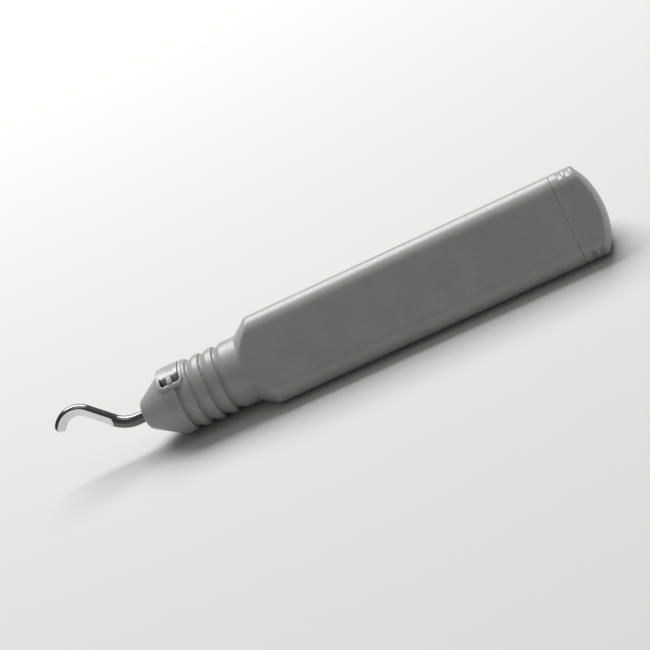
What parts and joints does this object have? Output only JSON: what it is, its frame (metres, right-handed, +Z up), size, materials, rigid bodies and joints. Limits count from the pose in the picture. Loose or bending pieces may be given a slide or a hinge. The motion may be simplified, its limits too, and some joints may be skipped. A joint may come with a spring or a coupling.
{
  "type": "deburring tool",
  "caption": "Hand deburring tool: hooked swivel blade in a tapered, grooved nose with a push-button release, and a three-sided grip that stores spare blades behind an end cap.",
  "frame": {"origin": "middle of the handle body's underside flat, which the tool lies on", "axes": "+X along the tool from the blade towards the end cap, +Z up through the grip's top corner and the release button"},
  "size_m": [0.1512, 0.0236, 0.0219],
  "materials": {
    "handle_plastic": "satin, moulded",
    "inner_plastic": "satin, moulded",
    "button_plastic": "satin, moulded",
    "blade_steel": "hardened and ground",
    "bush_steel": "turned",
    "spring_steel": "drawn wire",
    "ball_steel": "polished",
    "seal_rubber": "matt"
  },
  "bodies": {
    "handle": {"handle_body": "handle_plastic", "nose_cone": "handle_plastic", "nose_ring": "spring_steel", "holder_block": "inner_plastic", "guide_bush": "bush_steel", "retaining_clip": "spring_steel", "button_springs": "spring_steel"},
    "button": {"release_button": "button_plastic", "release_wedge": "bush_steel"},
    "swivel": {"thrust_ball": "ball_steel"},
    "fitted_blade": {"blade": "blade_steel"},
    "cap": {"end_cap": "handle_plastic", "blade_carrier": "inner_plastic", "cap_ring": "seal_rubber"},
    "spare_1": {"spare_blade_1": "blade_steel"},
    "spare_2": {"spare_blade_2": "blade_steel"}
  },
  "joints": [
    {"name": "button_press", "type": "slide", "parent": "handle", "child": "button", "axis": [0, 0, -1], "range_m": [0, 0.0018], "stiffness_N_per_m": 800, "springref_m": -0.002, "deforming": ["button_springs", "retaining_clip"]},
    {"name": "blade_swivel", "type": "hinge", "parent": "handle", "child": "swivel", "pos_m": [-0.05952, 0, 0.00885], "axis": [1, 0, 0], "continuous": true},
    {"name": "blade_pull", "type": "slide", "parent": "swivel", "child": "fitted_blade", "axis": [-1, 0, 0], "range_m": [0, 0.02]},
    {"name": "cap_pull", "type": "slide", "parent": "handle", "child": "cap", "axis": [1, 0, 0], "range_m": [0, 0.05]},
    {"name": "spare_blade_1_slide", "type": "slide", "parent": "cap", "child": "spare_1", "axis": [-1, 0, 0], "range_m": [0, 0.012]},
    {"name": "spare_blade_2_slide", "type": "slide", "parent": "cap", "child": "spare_2", "axis": [-1, 0, 0], "range_m": [0, 0.012]}
  ]
}
